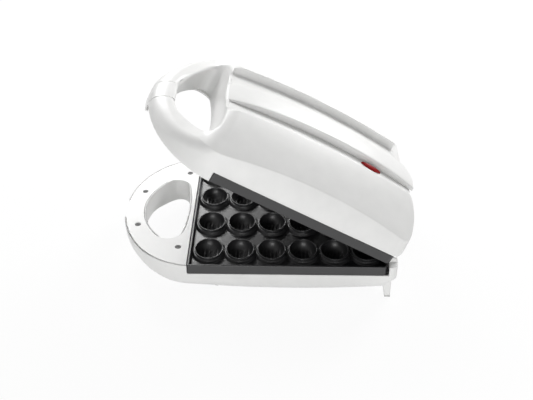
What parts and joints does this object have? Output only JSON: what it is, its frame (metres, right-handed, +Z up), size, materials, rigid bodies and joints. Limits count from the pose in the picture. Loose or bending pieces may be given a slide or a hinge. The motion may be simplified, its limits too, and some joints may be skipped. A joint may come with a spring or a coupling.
{
  "type": "electric nut cookie maker",
  "caption": "Countertop electric cooker with a hinged lid: crowned white shells, a loop handle with a latch clip, and black plates with nut-shaped cups and matching cores.",
  "frame": {"origin": "on the table, under the middle of the lower baking plate", "axes": "+X from the handle towards the hinge, +Y across the object, +Z up; the lid stands open as in the picture"},
  "size_m": [0.3327, 0.2228, 0.2051],
  "materials": {
    "white_shell": "white glossy moulded plastic",
    "white_cover": "white glossy moulded plastic",
    "white_clip": "white glossy moulded plastic",
    "coated_plate": "die cast, glossy near-black non-stick coating",
    "steel_screw": "zinc plated steel",
    "heater_tube": "dull steel sheath",
    "shield_sheet": "bright rolled sheet",
    "sensor_body": "steel can",
    "fuse_body": "tinned metal capsule",
    "block_body": "cream moulded plastic",
    "lead_cover": "silicone insulation",
    "bush_body": "black rubber",
    "pin_steel": "plain steel",
    "foot_rubber": "black rubber",
    "lens_red": "dark red translucent plastic",
    "lamp_body": "small neon lamp"
  },
  "bodies": {
    "base": {"lower_housing": "white_shell", "lower_handle_cover": "white_cover", "lower_cover_screws": "steel_screw", "lower_plate": "coated_plate", "lower_plate_screws": "steel_screw", "lower_heater": "heater_tube", "lower_heat_shield": "shield_sheet", "lower_thermostat": "sensor_body", "thermal_fuse": "fuse_body", "terminal_block": "block_body", "lower_leads": "lead_cover", "cord_inlet_bush": "bush_body", "hinge_pins": "pin_steel", "front_feet": "foot_rubber", "rear_foot_pads": "foot_rubber"},
    "lid": {"upper_housing": "white_shell", "upper_top_panel": "white_shell", "upper_handle_cover": "white_cover", "upper_cover_screws": "steel_screw", "upper_plate": "coated_plate", "upper_plate_screws": "steel_screw", "upper_heater": "heater_tube", "upper_heat_shield": "shield_sheet", "upper_thermostat": "sensor_body", "indicator_lamp": "lamp_body", "lamp_lens": "lens_red", "latch_pin": "pin_steel"},
    "clip": {"latch_clip": "white_clip"}
  },
  "joints": [
    {"name": "lid_hinge", "type": "hinge", "parent": "base", "child": "lid", "pos_m": [0.1153, 0, 0.0465], "axis": [0, 1, 0], "range_deg": [-28.86, 75]},
    {"name": "clip_hinge", "type": "hinge", "parent": "lid", "child": "clip", "pos_m": [-0.12549, 0, 0.19861], "axis": [0, 1, 0], "range_deg": [0, 30]}
  ]
}
